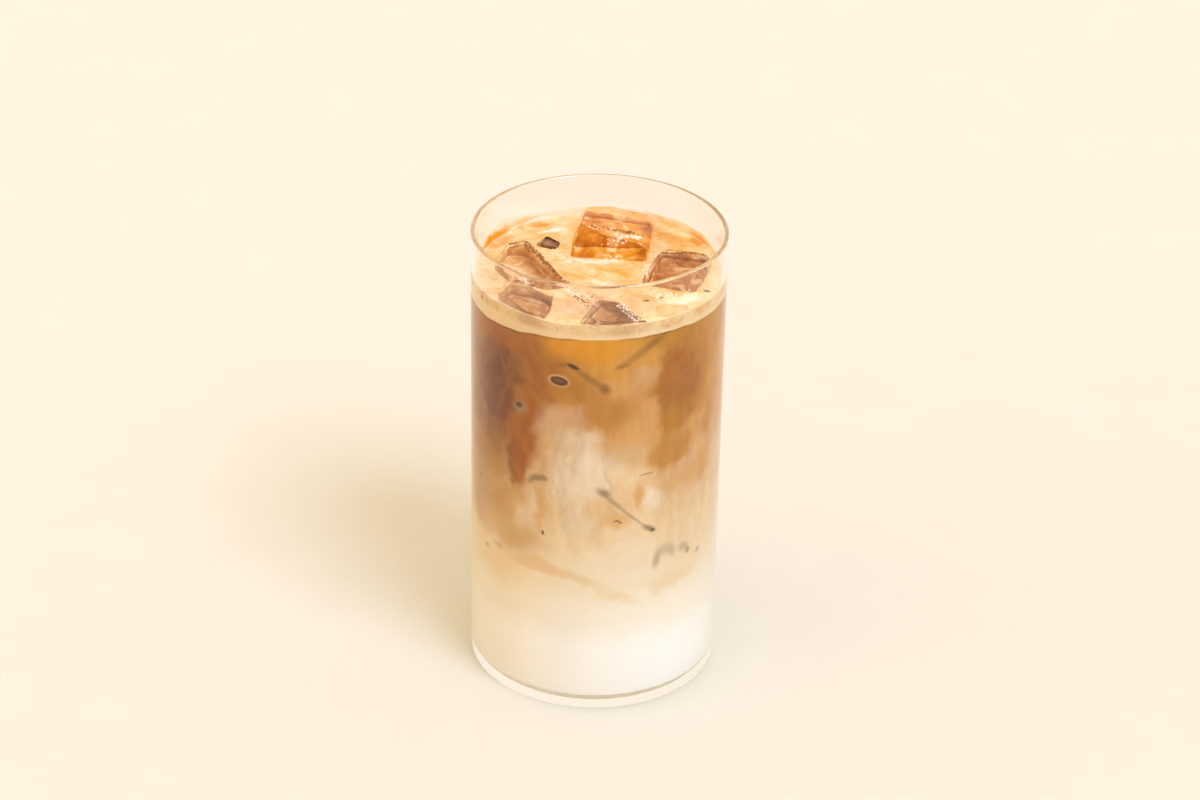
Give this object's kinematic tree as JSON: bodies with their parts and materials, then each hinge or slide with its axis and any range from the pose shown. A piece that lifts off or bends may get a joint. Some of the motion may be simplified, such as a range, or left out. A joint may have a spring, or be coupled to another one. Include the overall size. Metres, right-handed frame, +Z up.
{
  "type": "iced latte in a glass",
  "caption": "Straight clear tumbler of layered iced latte, with milk below, marbled coffee above, tan foam on top and ice cubes breaking the surface.",
  "frame": {"origin": "middle of the ring the glass stands on, at table height", "axes": "+Z up along the glass's own axis, -Y towards the viewer of the picture, +X to that viewer's right"},
  "size_m": [0.074, 0.074, 0.1415],
  "materials": {
    "clear_glass": "clear soda-lime glass, fire-polished lip",
    "clear_ice": "wet, part-melted ice with bubbles along its edges",
    "milk": "smooth opaque milk",
    "coffee_milk": "coffee marbled into milk",
    "coffee_foam": "fine-bubbled tan foam"
  },
  "bodies": {
    "root": {"glass": "clear_glass", "milk_layer": "milk", "marbled_latte": "coffee_milk", "crema": "coffee_foam", "ice_left": "clear_ice", "ice_left_front": "clear_ice", "ice_back": "clear_ice", "ice_back_left": "clear_ice", "ice_right": "clear_ice", "ice_front": "clear_ice", "ice_front_right": "clear_ice"}
  },
  "joints": []
}
